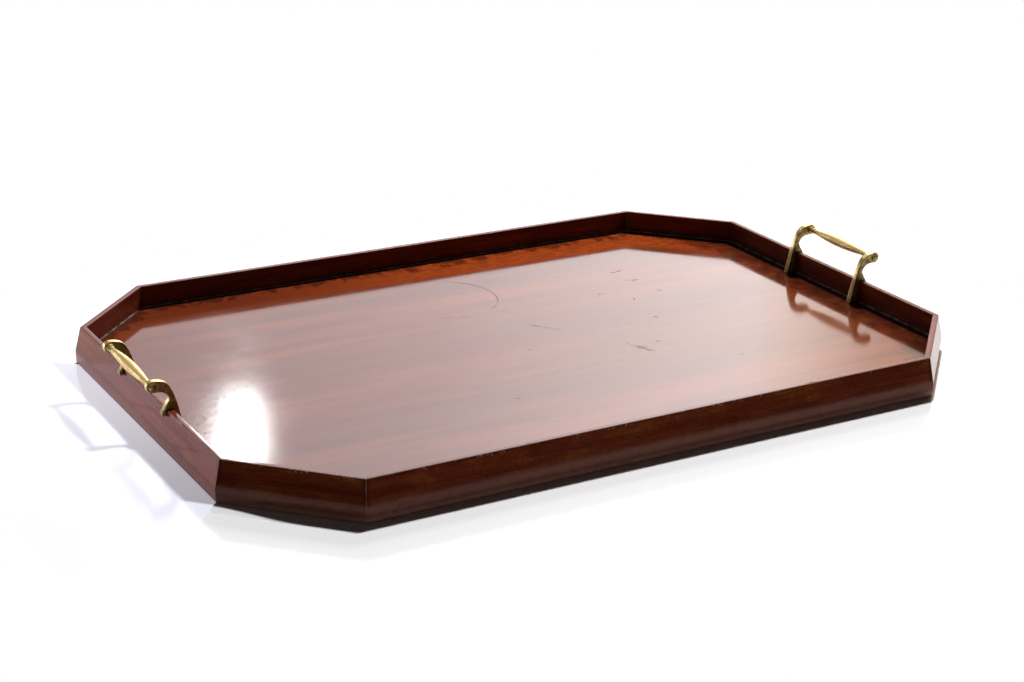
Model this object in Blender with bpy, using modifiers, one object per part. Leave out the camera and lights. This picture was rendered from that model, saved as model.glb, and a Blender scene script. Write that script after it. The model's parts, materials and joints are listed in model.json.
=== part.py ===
# An octagonal mahogany serving tray: a polished board let into a low gallery of eight moulded rails,
# mitred at the corners, with a turned brass grip carried by two swan-neck brackets over each end.
# Metres, +Z up, X along the tray. The tray stands on z = 0 and its middle is over the origin.
import math

import bmesh
import bpy
from mathutils import Matrix, Vector
from mathutils.geometry import interpolate_bezier

# Plan of the tray, over the top outer edges of its rails
trayLength = 0.635
trayWidth = 0.432
cantSetback = 0.0735   # of each canted corner, along both sides

# Fits
fitGap = 0.0003        # between a piece and the seat it stands in
cutOverrun = 0.002     # how far a cutter runs past the face it cuts

# Moulded rail, seen in section
railHeight = 0.0305
railTopWidth = 0.0046
railArris = 0.0007
flareAngle = math.radians(12.5)    # outward lean of the outer face
bellyRise = 0.0122                 # height at which the lean turns into the belly
bellyRadius = 0.014
tuckAngle = math.radians(2)        # inward lean below the belly
footRadius = 0.0026

# Board and the tongue round its edge
boardRise = 0.0038                 # clear height below the board
boardThickness = 0.008
tongueThickness = 0.005
tongueLength = 0.0035

# Loose tongue hidden in each mitre
keyThickness = 0.0016
keyReach = 0.0035                  # into each of the two rails
keyHeight = 0.01

# Swan-neck bracket: sizes outward from the rail's top outer edge and up from the rail's top
bracketThickness = 0.0048
bracketEdge = 0.0006
bracketSpacing = 0.088
eyeReach = 0.0102
eyeRise = 0.019
eyeRadius = 0.0045
backDepth = 0.009                  # of the neck's back, inward at the rail's top
footDepth = 0.0087                 # of the foot on the board, inward from the rail
waistInset = 0.0017                # of the hollow under the neck
waistRise = 0.008
tabReach = 0.0041                  # of the tab over the rail's outer face
tabDrop = 0.0049
tabToe = 0.002                     # height of the tab's rounded toe

# Turned grip
gripMiddleRadius = 0.0042
gripEndRadius = 0.002
collarRadius = 0.0032
collarLength = 0.0016
neckRadius = 0.0017
neckLength = 0.0009
beadRadius = 0.0026
beadLength = 0.0022
spigotRadius = 0.0018
headRadius = 0.0028
headHeight = 0.0014

# Screws up through the board into the bracket feet
screwRadius = 0.0012
screwLength = 0.0155
screwHeadRadius = 0.0025
screwBrim = 0.0003                 # of the head below its cone
screwConeHeight = 0.0013
screwSink = 0.0003                 # of the head below the board's underside
slotWidth = 0.0007
slotDepth = 0.0006

# Facets
arcSteps = 4
outlineSteps = 5
turnSteps = 20
gripSteps = 14
collarSteps = 4
beadSteps = 6
leastTurn = math.radians(0.5)      # below which a stretch of outline is taken as straight
creaseAngle = math.radians(30)     # between faces that meet in a sharp edge
weldShare = 0.05                   # of the fit gap, within which points are welded

boardTop = boardRise + boardThickness
keyMiddle = (boardTop + railHeight) / 2
cornerTurn = math.pi / 4
mitreAngle = cornerTurn / 2
cantLength = cantSetback / math.sin(cornerTurn)
cantDistance = (trayLength / 2 + trayWidth / 2 - cantSetback) * math.cos(cornerTurn)
footLevel = boardTop + fitGap - railHeight
screwInset = railTopWidth + fitGap + footDepth / 2
screwFoot = boardRise + screwSink
screwTop = screwFoot + screwLength
weldDistance = fitGap * weldShare

# Shares of the bracket's outline, with the heading in degrees there. The neck's back runs from the
# eye's top to the rail's top, the hollow from the eye's underside to the waist, and the tab from
# the waist to its toe.
backShares = ((0.405, 0.84, 228), (0.16, 0.45, 249))
hollowShares = ((0.53, 0.97, 10), (0.17, 0.6, 44))
tabShares = ((0.255, 0.33, 118), (0.7, 0.72, 116))
toeShare = 0.25                    # of the toe's height, where its round begins
backHeading = 257
toeHeading = 100

# Rails anticlockwise from the right end, each with its distance from the middle and its length,
# both at the top outer edge
rails = (
    ("right_rail", trayLength / 2, trayWidth - 2 * cantSetback),
    ("back_right_corner_rail", cantDistance, cantLength),
    ("back_rail", trayWidth / 2, trayLength - 2 * cantSetback),
    ("back_left_corner_rail", cantDistance, cantLength),
    ("left_rail", trayLength / 2, trayWidth - 2 * cantSetback),
    ("front_left_corner_rail", cantDistance, cantLength),
    ("front_rail", trayWidth / 2, trayLength - 2 * cantSetback),
    ("front_right_corner_rail", cantDistance, cantLength),
)

for thing in list(bpy.data.objects):
    bpy.data.objects.remove(thing)
tray = bpy.data.collections.new("mahogany_serving_tray")
cutters = bpy.data.collections.new("cutters")
bpy.context.scene.collection.children.link(tray)
bpy.context.scene.collection.children.link(cutters)


def finish(name, colour, roughness, metallic):
    material = bpy.data.materials.new(name)
    material.use_nodes = True
    shader = material.node_tree.nodes["Principled BSDF"]
    shader.inputs["Base Color"].default_value = (*colour, 1)
    shader.inputs["Roughness"].default_value = roughness
    shader.inputs["Metallic"].default_value = metallic
    return material


boardMahogany = finish("board_mahogany", (0.33, 0.11, 0.05), 0.2, 0)
railMahogany = finish("rail_mahogany", (0.17, 0.05, 0.03), 0.3, 0)
keyWood = finish("key_wood", (0.42, 0.27, 0.14), 0.6, 0)
castBrass = finish("cast_brass", (0.62, 0.46, 0.2), 0.35, 1)
turnedBrass = finish("turned_brass", (0.75, 0.58, 0.28), 0.25, 1)
screwBrass = finish("screw_brass", (0.55, 0.4, 0.16), 0.4, 1)


def newObject(name, mesh, collection=tray):
    thing = bpy.data.objects.new(name, mesh)
    collection.objects.link(thing)
    return thing


def newPiece(name, mesh, material):
    piece = newObject(name, mesh)
    if not mesh.materials:
        mesh.materials.append(material)
    return piece


def settledMesh(thing, turn=Matrix.Identity(4)):
    # the thing's evaluated mesh with its caps and seams welded, turned upright; the thing itself is removed
    evaluated = thing.evaluated_get(bpy.context.evaluated_depsgraph_get())
    mesh = bpy.data.meshes.new_from_object(evaluated)
    mesh.name = thing.name
    bpy.data.objects.remove(thing)
    shape = bmesh.new()
    shape.from_mesh(mesh)
    bmesh.ops.remove_doubles(shape, verts=shape.verts, dist=weldDistance)
    bmesh.ops.recalc_face_normals(shape, faces=shape.faces)
    shape.to_mesh(mesh)
    shape.free()
    mesh.transform(turn)
    mesh.shade_smooth()
    mesh.set_sharp_from_angle(angle=creaseAngle)
    return mesh


def flatShape(name, loops, thickness, edge=0):
    # a plate with the given outline loops, its rim rounded by edge
    curve = bpy.data.curves.new(name, "CURVE")
    curve.dimensions = "2D"
    curve.fill_mode = "BOTH"
    curve.extrude = thickness / 2 - edge
    curve.bevel_depth = edge
    curve.bevel_resolution = 1
    curve.offset = -edge
    for loop in loops:
        spline = curve.splines.new("POLY")
        spline.points.add(len(loop) - 1)
        spline.use_cyclic_u = True
        for point, (x, y) in zip(spline.points, loop):
            point.co = (x, y, 0, 1)
    return newObject(name, curve)


def turnedShape(name, profile, steps=turnSteps, collection=tray):
    # profile runs down the outer side as (radius, height), from the axis back to the axis
    mesh = bpy.data.meshes.new(name)
    edges = [(i, i + 1) for i in range(len(profile) - 1)]
    mesh.from_pydata([(radius, 0, height) for radius, height in profile], edges, [])
    thing = newObject(name, mesh, collection)
    screw = thing.modifiers.new("Turn", "SCREW")
    screw.steps = steps
    screw.render_steps = steps
    screw.use_merge_vertices = True
    screw.merge_threshold = weldDistance
    return thing


def boxMesh(name, size):
    mesh = bpy.data.meshes.new(name)
    shape = bmesh.new()
    bmesh.ops.create_cube(shape, size=1, matrix=Matrix.Diagonal((*size, 1)))
    shape.to_mesh(mesh)
    shape.free()
    return mesh


def cutBy(piece, cutter):
    cutter.hide_render = True
    cutter.display_type = "WIRE"
    cut = piece.modifiers.new(cutter.name, "BOOLEAN")
    cut.operation = "DIFFERENCE"
    cut.solver = "EXACT"
    cut.object = cutter


def arc(centreX, centreY, radius, startAngle, endAngle):
    angles = [startAngle + (endAngle - startAngle) * step / arcSteps for step in range(arcSteps + 1)]
    return [(centreX + radius * math.cos(angle), centreY + radius * math.sin(angle)) for angle in angles]


def smoothLoop(knots):
    # knots are (x, y, heading in degrees), with no heading at a corner; curved stretches run as
    # near circular arcs
    points = []
    for (x, y, heading), (nextX, nextY, nextHeading) in zip(knots, knots[1:] + knots[:1]):
        start = Vector((x, y))
        end = Vector((nextX, nextY))
        if heading is None and nextHeading is None:
            points.append(start)
            continue
        chord = end - start
        leaving = chord.normalized() if heading is None else direction(heading)
        arriving = chord.normalized() if nextHeading is None else direction(nextHeading)
        turn = leaving.angle(arriving)
        reach = chord.length / 3
        if turn > leastTurn:
            reach = chord.length * 2 / 3 * math.tan(turn / 4) / math.sin(turn / 2)
        handles = (start + reach * leaving, end - reach * arriving)
        points += interpolate_bezier(start, *handles, end, outlineSteps + 1)[:-1]
    return [(point.x, point.y) for point in points]


def direction(degrees):
    return Vector((math.cos(math.radians(degrees)), math.sin(math.radians(degrees))))


def trayCorner(side, inset):
    # corner between a side and the next, on the tray's outline drawn in by inset
    distance = rails[side][1] - inset
    nextDistance = rails[(side + 1) % len(rails)][1] - inset
    along = (nextDistance - distance * math.cos(cornerTurn)) / math.sin(cornerTurn)
    angle = side * cornerTurn
    return Vector((
        distance * math.cos(angle) - along * math.sin(angle),
        distance * math.sin(angle) + along * math.cos(angle),
    ))


def octagon(inset):
    return [trayCorner(side, inset) for side in range(len(rails))]


def railSection():
    # outward is +x and the rail's top outer edge is at x = 0
    arrisX = railArris * (math.tan(flareAngle) * (1 - math.sin(flareAngle)) - math.cos(flareAngle))
    bellyX = (railHeight - bellyRise) * math.tan(flareAngle) - bellyRadius * math.cos(flareAngle)
    bellyZ = bellyRise - bellyRadius * math.sin(flareAngle)
    tuckX = bellyX + bellyRadius * math.cos(tuckAngle)
    tuckZ = bellyZ - bellyRadius * math.sin(tuckAngle)
    footRise = footRadius * (1 - math.sin(tuckAngle))
    footX = tuckX - (tuckZ - footRise) * math.tan(tuckAngle) - footRadius * math.cos(tuckAngle)
    grooveFloor = tongueLength + fitGap - railTopWidth
    grooveFoot = boardTop - tongueThickness - fitGap
    grooveTop = boardTop + fitGap
    return [
        (-railTopWidth, 0),
        *arc(footX, footRadius, footRadius, -math.pi / 2, -tuckAngle),
        *arc(bellyX, bellyZ, bellyRadius, -tuckAngle, flareAngle),
        *arc(arrisX, railHeight - railArris, railArris, flareAngle, math.pi / 2),
        *arc(railArris - railTopWidth, railHeight - railArris, railArris, math.pi / 2, math.pi),
        (-railTopWidth, grooveTop),
        (grooveFloor, grooveTop),
        (grooveFloor, grooveFoot),
        (-railTopWidth, grooveFoot),
    ]


def makeRail(side):
    name, _, length = rails[side]
    bar = settledMesh(flatShape(name, [railSection()], length), Matrix.Rotation(math.pi / 2, 4, "X"))
    glueLine = fitGap / 2 / math.cos(mitreAngle)
    for vertex in bar.vertices:
        mitred = length / 2 - glueLine + vertex.co.x * math.tan(mitreAngle)
        vertex.co.y = math.copysign(mitred, vertex.co.y)
    rail = newPiece(name, bar, railMahogany)
    rail.location = (*(trayCorner(side - 1, 0) + trayCorner(side, 0)) / 2, 0)
    rail.rotation_euler.z = side * cornerTurn
    return rail


def placeInMitre(piece, side):
    # across the corner after this side, with as much wood outside its ends as inside its middle
    keyTop = keyMiddle + keyHeight / 2
    wallMiddle = ((railHeight - keyTop) * math.tan(flareAngle) - railTopWidth) / 2
    inset = keyReach * math.sin(mitreAngle) / 2 - wallMiddle
    piece.location = (*trayCorner(side, inset), keyMiddle)
    piece.rotation_euler.z = side * cornerTurn + mitreAngle


def makeMitreTongue(side):
    # returns the cutter for its slot in the two rails
    size = (keyThickness, 2 * keyReach, keyHeight)
    placeInMitre(newPiece(f"mitre_tongue_{side + 1}", boxMesh("mitre_tongue", size), keyWood), side)
    slotSize = [length + 2 * fitGap for length in size]
    slot = newObject(f"mitre_slot_{side + 1}", boxMesh("mitre_slot", slotSize), cutters)
    placeInMitre(slot, side)
    return slot


def makeBoard():
    middle = Matrix.Translation((0, 0, boardRise + boardThickness / 2))
    edgeInset = railTopWidth - tongueLength
    slab = settledMesh(flatShape("board", [octagon(edgeInset)], boardThickness), middle)
    slab.shade_flat()
    board = newPiece("tray_board", slab, boardMahogany)
    # the rebate below the tongue
    rebateHeight = boardThickness - tongueThickness + cutOverrun
    rebateMiddle = Matrix.Translation((0, 0, boardRise - cutOverrun + rebateHeight / 2))
    loops = [octagon(edgeInset - cutOverrun), octagon(railTopWidth + fitGap)]
    rebate = settledMesh(flatShape("rebate", loops, rebateHeight), rebateMiddle)
    cutBy(board, newObject("rebate", rebate, cutters))
    return board


def bracketOutline():
    seatX = -railTopWidth - fitGap
    faceX = fitGap / math.cos(flareAngle)      # of the rail's outer face with its gap, at the rail's top
    toeZ = tabToe * toeShare - tabDrop
    toeX = faceX - toeZ * math.tan(flareAngle)
    eyeTop = eyeRise + eyeRadius
    eyeFoot = eyeRise - eyeRadius
    back = [(s * (eyeReach + backDepth) - backDepth, t * eyeTop, heading) for s, t, heading in backShares]
    hollow = [
        (s * (eyeReach + waistInset) - waistInset, waistRise + t * (eyeFoot - waistRise), heading)
        for s, t, heading in hollowShares
    ]
    tab = [
        (s * (tabReach + waistInset) - waistInset, waistRise - t * (waistRise + tabDrop - tabToe), heading)
        for s, t, heading in tabShares
    ]
    return smoothLoop([
        (eyeReach, eyeTop, 180),
        *back,
        (-backDepth, 0, backHeading),
        (seatX - footDepth, footLevel, None),
        (seatX, footLevel, None),
        (seatX, fitGap, None),
        (faceX - fitGap * math.tan(flareAngle), fitGap, None),
        (toeX, toeZ, None),
        ((toeX + tabReach) / 2, -tabDrop, 0),
        (tabReach, tabToe - tabDrop, toeHeading),
        *reversed(tab),
        (-waistInset, waistRise, 90),
        *reversed(hollow),
        (eyeReach, eyeFoot, 0),
        (eyeReach + eyeRadius, eyeRise, 90),
    ])


def plugProfile(radius, top, foot):
    return [(0, top), (radius, top), (radius, foot), (0, foot)]


def makeBracketMesh():
    # outline upright in the x-z plane, with the eye's bore and the tapped hole in the foot
    plate = flatShape("bracket", [bracketOutline()], bracketThickness, bracketEdge)
    bracket = newObject("bracket", settledMesh(plate, Matrix.Rotation(math.pi / 2, 4, "X")))
    boreRadius = spigotRadius + fitGap
    boreHalf = bracketThickness / 2 + cutOverrun
    bore = turnedShape("eye_bore", plugProfile(boreRadius, boreHalf, -boreHalf), collection=cutters)
    bore.location = (eyeReach, 0, eyeRise)
    bore.rotation_euler.x = math.pi / 2
    cutBy(bracket, bore)
    holeRadius = screwRadius + fitGap
    holeTop = screwTop + fitGap - railHeight
    holeFoot = footLevel - cutOverrun
    hole = turnedShape("foot_hole", plugProfile(holeRadius, holeTop, holeFoot), collection=cutters)
    hole.location = (-screwInset, 0, 0)
    cutBy(bracket, hole)
    bpy.context.view_layer.update()
    return settledMesh(bracket)


def swell(length, edgeRadius, middleRadius, steps):
    # radii and depths of a rounded bulge, from its upper edge down
    shares = [step / steps for step in range(steps + 1)]
    return [(edgeRadius + (middleRadius - edgeRadius) * math.sin(math.pi * s), length * s) for s in shares]


def gripProfile():
    # collar, neck and bead at each end of a spindle that swells to the middle, with peened spigots
    eyeFace = bracketSpacing / 2 - bracketThickness / 2
    outerFace = bracketSpacing / 2 + bracketThickness / 2 + fitGap
    collarFace = eyeFace - fitGap
    neckTop = collarFace - collarLength
    beadTop = neckTop - neckLength
    spindleTop = beadTop - beadLength - neckLength
    headShares = [step / arcSteps for step in range(arcSteps)]
    head = [(headRadius * math.sin(math.pi / 2 * s), outerFace + headHeight * math.cos(math.pi / 2 * s))
            for s in headShares]
    collarRim = (collarRadius + spigotRadius) / 2
    collar = [(r, collarFace - d) for r, d in swell(collarLength, collarRim, collarRadius, collarSteps)]
    bead = [(r, beadTop - d) for r, d in swell(beadLength, neckRadius, beadRadius, beadSteps)]
    upper = [
        *head,
        (headRadius, outerFace),
        (spigotRadius, outerFace),
        (spigotRadius, collarFace),
        *collar,
        (neckRadius, neckTop),
        *bead,
    ]
    lower = [(radius, -height) for radius, height in reversed(upper)]
    spindle = swell(2 * spindleTop, gripEndRadius, gripMiddleRadius, gripSteps)
    return upper + [(radius, spindleTop - depth) for radius, depth in spindle] + lower


def screwProfile(gap, top, foot):
    # head down, as it goes in from below
    brimTop = screwFoot + screwBrim
    return [
        (0, top),
        (screwRadius + gap, top),
        (screwRadius + gap, brimTop + screwConeHeight),
        (screwHeadRadius + gap, brimTop),
        (screwHeadRadius + gap, foot),
        (0, foot),
    ]


def makeHandle(side, turn):
    stand = bpy.data.objects.new(f"{side}_handle", None)
    tray.objects.link(stand)
    stand.location = (trayLength / 2 * math.cos(turn), 0, railHeight)
    stand.rotation_euler.z = turn
    across = {"front": -math.cos(turn), "back": math.cos(turn)}
    for place, way in across.items():
        bracket = newPiece(f"{side}_{place}_bracket", bracketMesh, castBrass)
        bracket.parent = stand
        bracket.location = (0, way * bracketSpacing / 2, 0)
    grip = newPiece(f"{side}_grip", gripMesh, turnedBrass)
    grip.parent = stand
    grip.location = (eyeReach, 0, eyeRise)


def makeScrews(places):
    shank = turnedShape("screw", screwProfile(0, screwTop, screwFoot))
    slotSize = (2 * (screwHeadRadius + cutOverrun), slotWidth, 2 * slotDepth)
    slot = newObject("screw_slot", boxMesh("screw_slot", slotSize), cutters)
    slot.location.z = screwFoot
    cutBy(shank, slot)
    bpy.context.view_layer.update()
    mesh = settledMesh(shank)
    for name, (x, y) in places.items():
        newPiece(f"{name}_screw", mesh, screwBrass).location = (x, y, 0)


# Gallery
slots = [makeMitreTongue(side) for side in range(len(rails))]
for side in range(len(rails)):
    rail = makeRail(side)
    cutBy(rail, slots[side])
    cutBy(rail, slots[side - 1])

# Board, with a countersunk hole under each bracket foot
board = makeBoard()
screwX = trayLength / 2 - screwInset
screwY = bracketSpacing / 2
screwPlaces = {
    "left_front": (-screwX, -screwY),
    "left_back": (-screwX, screwY),
    "right_front": (screwX, -screwY),
    "right_back": (screwX, screwY),
}
holeProfile = screwProfile(fitGap, boardTop + cutOverrun, boardRise - cutOverrun)
for name, (x, y) in screwPlaces.items():
    hole = turnedShape(f"{name}_hole", holeProfile, collection=cutters)
    hole.location = (x, y, 0)
    cutBy(board, hole)

# Handles
bracketMesh = makeBracketMesh()
gripMesh = settledMesh(turnedShape("grip", gripProfile()), Matrix.Rotation(math.pi / 2, 4, "X"))
makeHandle("right", 0)
makeHandle("left", math.pi)
makeScrews(screwPlaces)
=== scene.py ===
import json
from collections import namedtuple
from functools import partial
from math import cos, pi, radians, sin, sqrt, tan

import bmesh
import bpy
from mathutils import Matrix, Vector, noise
from mathutils.geometry import interpolate_bezier

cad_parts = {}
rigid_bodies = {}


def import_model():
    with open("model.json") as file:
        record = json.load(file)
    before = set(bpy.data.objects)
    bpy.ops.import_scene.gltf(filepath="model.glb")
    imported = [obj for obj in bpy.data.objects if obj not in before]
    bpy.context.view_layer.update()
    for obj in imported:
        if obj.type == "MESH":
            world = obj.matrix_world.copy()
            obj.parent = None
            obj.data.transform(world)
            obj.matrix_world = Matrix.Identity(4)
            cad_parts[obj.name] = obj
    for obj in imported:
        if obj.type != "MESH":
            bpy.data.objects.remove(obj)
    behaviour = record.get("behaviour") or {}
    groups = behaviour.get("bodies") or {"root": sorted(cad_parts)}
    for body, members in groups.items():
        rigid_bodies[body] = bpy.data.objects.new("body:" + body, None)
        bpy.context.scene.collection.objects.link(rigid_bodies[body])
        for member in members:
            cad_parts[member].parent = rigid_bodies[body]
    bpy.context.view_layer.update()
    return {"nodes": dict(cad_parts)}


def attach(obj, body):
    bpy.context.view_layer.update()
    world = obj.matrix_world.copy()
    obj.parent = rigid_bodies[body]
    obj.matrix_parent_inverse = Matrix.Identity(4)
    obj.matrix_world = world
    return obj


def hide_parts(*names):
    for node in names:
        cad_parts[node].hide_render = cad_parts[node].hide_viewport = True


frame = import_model()
solids = frame["nodes"]
scene = bpy.context.scene
print("frame loaded:", len(solids), "nodes")

mm = 0.001
upright = Matrix.Rotation(pi / 2, 4, "X")      # from a flat outline to a standing plate


def addObject(name, data):
    added = bpy.data.objects.new(name, data)
    scene.collection.objects.link(added)
    return added


cameraLook = {
    "place": (-0.7720, -1.2903, 0.5859),
    "azimuth": -30.685,
    "elevation": 20.867,
    "roll": 1.445,
    "focalPixels": 1987.7,
    "pictureWidth": 1024,
}


def makeCamera(look):
    a, e, r = (radians(look[key]) for key in ("azimuth", "elevation", "roll"))
    back = Vector((sin(a) * cos(e), -cos(a) * cos(e), sin(e)))
    right = Vector((cos(a), sin(a), 0))
    up = back.cross(right)
    rolledRight = right * cos(r) + up * sin(r)
    rolledUp = up * cos(r) - right * sin(r)
    data = bpy.data.cameras.new("camera")
    data.lens = look["focalPixels"] * data.sensor_width / look["pictureWidth"]
    camera = addObject("camera", data)
    turned = Matrix((rolledRight, rolledUp, back)).transposed()
    camera.matrix_world = Matrix.Translation(look["place"]) @ turned.to_4x4()
    scene.camera = camera


makeCamera(cameraLook)
print("camera placed")


# Shader nodes: a value is a number, a vector, a colour or another node's output

def setSockets(node, values):
    for name, value in values.items():
        if isinstance(value, bpy.types.NodeSocket):
            value.id_data.links.new(value, node.inputs[name])
        else:
            node.inputs[name].default_value = value


def put(tree, kind, values=None, **settings):
    node = tree.nodes.new("ShaderNode" + kind)
    for name, value in settings.items():
        setattr(node, name, value)
    setSockets(node, values or {})
    return node


def putBeside(kind, values, **settings):
    # in the tree that the values come from
    sources = [value for value in values.values() if isinstance(value, bpy.types.NodeSocket)]
    return put(sources[0].id_data, kind, values, **settings)


def calc(operation, first, *others):
    for other in others:
        first = putBeside("Math", {0: first, 1: other}, operation=operation).outputs[0]
    return first


plus = partial(calc, "ADD")
minus = partial(calc, "SUBTRACT")
times = partial(calc, "MULTIPLY")
over = partial(calc, "DIVIDE")
most = partial(calc, "MAXIMUM")
moreThan = partial(calc, "GREATER_THAN")
lessThan = partial(calc, "LESS_THAN")


def absolute(value):
    return putBeside("Math", {0: value}, operation="ABSOLUTE").outputs[0]


def vectorCalc(operation, first, second, output=0):
    return putBeside("VectorMath", {0: first, 1: second}, operation=operation).outputs[output]


def lengthOf(vector):
    return putBeside("VectorMath", {0: vector}, operation="LENGTH").outputs["Value"]


def stretched(vector, x=1, y=1, z=1):
    return vectorCalc("MULTIPLY", vector, (x, y, z))


def rotated(vector, angle):
    values = {"Vector": vector, "Angle": angle}
    return putBeside("VectorRotate", values, rotation_type="Z_AXIS").outputs[0]


def split(vector):
    return putBeside("SeparateXYZ", {0: vector}).outputs


def join(x, y, z):
    return putBeside("CombineXYZ", {0: x, 1: y, 2: z}).outputs[0]


def remap(value, low, high, newLow=0, newHigh=1, curve="SMOOTHSTEP"):
    values = {"Value": value, "From Min": low, "From Max": high, "To Min": newLow, "To Max": newHigh}
    return putBeside("MapRange", values, interpolation_type=curve).outputs["Result"]


def blend(share, first, second, mode="MIX"):
    values = {0: share, 6: first, 7: second}
    return putBeside("Mix", values, data_type="RGBA", blend_type=mode).outputs[2]


def painted(colour, look, *coats):
    # each coat is its share and the name of its colour
    for share, name in coats:
        colour = blend(share, colour, look[name])
    return colour


def noiseAt(vector, scale, detail=2.0, distortion=0.0):
    values = {"Vector": vector, "Scale": scale, "Detail": detail, "Distortion": distortion}
    return putBeside("TexNoise", values).outputs["Fac"]


def attribute(tree, name):
    return put(tree, "Attribute", attribute_name=name).outputs["Fac"]


def bump(height, depth):
    return putBeside("Bump", {"Height": height, "Distance": depth, "Strength": 1.0}).outputs[0]


def placed(group, place, **values):
    return putBeside("Group", {"Vector": place, **values}, node_tree=group).outputs


def newGroup(name, inputs):
    group = bpy.data.node_groups.new(name, "ShaderNodeTree")
    for label, value in {"Vector": (0, 0, 0), **inputs}.items():
        kind = "NodeSocketFloat" if isinstance(value, (int, float)) else "NodeSocketVector"
        group.interface.new_socket(label, in_out="INPUT", socket_type=kind).default_value = value
    return group, group.nodes.new("NodeGroupInput").outputs


def closeGroup(group, **outputs):
    for label in outputs:
        group.interface.new_socket(label, in_out="OUTPUT", socket_type="NodeSocketFloat")
    setSockets(group.nodes.new("NodeGroupOutput"), outputs)
    return group


def makeWoodGrain():
    # X of the vector runs along the grain
    inputs = {"Figure Size": 0.018, "Fibre Size": 0.0012, "Stretch": 12.0, "Seed": 0.0}
    group, given = newGroup("woodGrain", inputs)
    seed = given["Seed"]
    shift = vectorCalc("ADD", given["Vector"], join(seed, seed, seed))
    drawn = vectorCalc("MULTIPLY", shift, join(over(1.0, given["Stretch"]), 1.0, 1.0))
    figure = noiseAt(drawn, over(1.0, given["Figure Size"]), 3.0, 0.6)
    fibre = noiseAt(stretched(drawn, 0.4), over(1.0, given["Fibre Size"]), 3.0, 0.2)
    pores = noiseAt(drawn, over(2.6, given["Fibre Size"]), 1.0)
    figure, fibre = remap(figure, 0.32, 0.68), remap(fibre, 0.3, 0.7)
    return closeGroup(group, Figure=figure, Fibre=fibre, Pores=remap(pores, 0.60, 0.70))


def makeHairScratches():
    # fine rubbed lines in three directions of the vector's x-y plane
    group, given = newGroup("hairScratches", {"Length": 0.03, "Breadth": 0.0004, "Amount": 0.3})
    scale = join(over(1.0, given["Length"]), over(1.0, given["Breadth"]), 0.0)
    least = remap(given["Amount"], 0.0, 1.0, 0.78, 0.55)
    lines = []
    for degrees in (14, -38, 71):
        drawn = vectorCalc("MULTIPLY", rotated(given["Vector"], radians(degrees)), scale)
        lines.append(moreThan(noiseAt(drawn, 1.0, 0.0), least))
    return closeGroup(group, Mask=most(*lines))


def makeSpecks():
    # scattered small dents and spots
    group, given = newGroup("specks", {"Spacing": 0.04, "Radius": 0.0008, "Share": 0.4})
    scale = over(1.0, given["Spacing"])
    cells = put(group, "TexVoronoi", {"Vector": given["Vector"], "Scale": scale}).outputs
    reach = times(cells["Distance"], given["Spacing"])
    spot = remap(reach, given["Radius"], times(given["Radius"], 0.4))
    return closeGroup(group, Mask=times(spot, lessThan(split(cells["Color"])[0], given["Share"])))


def makeRingStain():
    group, given = newGroup("ringStain", {"Centre": (0, 0, 0), "Radius": 0.04, "Breadth": 0.001})
    flat = stretched(vectorCalc("SUBTRACT", given["Vector"], given["Centre"]), z=0)
    offset = absolute(minus(lengthOf(flat), given["Radius"]))
    broken = remap(noiseAt(given["Vector"], 30.0, 4.0), 0.34, 0.5)
    return closeGroup(group, Mask=times(remap(offset, given["Breadth"], 0.0), broken))


def makeSmudge():
    # one elongated dull or dark mark, broken up at its edge
    inputs = {"Centre": (0, 0, 0), "Length": 0.02, "Breadth": 0.004, "Angle": 0.0}
    group, given = newGroup("smudge", inputs)
    offset = rotated(vectorCalc("SUBTRACT", given["Vector"], given["Centre"]), given["Angle"])
    shrunk = vectorCalc("DIVIDE", offset, join(given["Length"], given["Breadth"], 1.0))
    rough = noiseAt(stretched(given["Vector"], 0.35), 500.0, 3.0)
    frayed = plus(lengthOf(stretched(shrunk, z=0)), remap(rough, 0.3, 0.7, -0.7, 0.9))
    return closeGroup(group, Mask=remap(frayed, 1.0, 0.5))


def makeGalleryInset():
    # how far a point is inside the octagon of the rails' top outer edges
    inputs = {"Half Length": 0.3, "Half Width": 0.2, "Cant Distance": 0.3}
    group, given = newGroup("galleryInset", inputs)
    x, y, _ = split(given["Vector"])
    x, y = absolute(x), absolute(y)
    end = minus(x, given["Half Length"])
    side = minus(y, given["Half Width"])
    cant = minus(times(plus(x, y), sqrt(0.5)), given["Cant Distance"])
    return closeGroup(group, Inset=times(most(end, side, cant), -1.0))


woodGrain = makeWoodGrain()
hairScratches = makeHairScratches()
specks = makeSpecks()
ringStain = makeRingStain()
smudge = makeSmudge()
galleryInset = makeGalleryInset()


def newMaterial(name):
    material = bpy.data.materials.new(name)
    material.use_nodes = True
    tree = material.node_tree
    return material, tree.nodes["Principled BSDF"], put(tree, "TexCoord").outputs["Object"]


def feed(shader, **values):
    names = {
        "colour": "Base Color", "roughness": "Roughness", "metallic": "Metallic", "normal": "Normal",
        "gloss": "Specular IOR Level", "coat": "Coat Weight", "glow": "Emission Strength",
    }
    setSockets(shader, {names[key]: value for key, value in values.items()})


def insetAt(place):
    sizes = {"Half Length": halfLength, "Half Width": halfWidth, "Cant Distance": cantDistance}
    return placed(galleryInset, place, **sizes)["Inset"]


def smudgeAt(place, centre, length, breadth, degrees):
    angle = radians(degrees)
    return placed(smudge, place, Centre=centre, Length=length, Breadth=breadth, Angle=angle)["Mask"]


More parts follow.
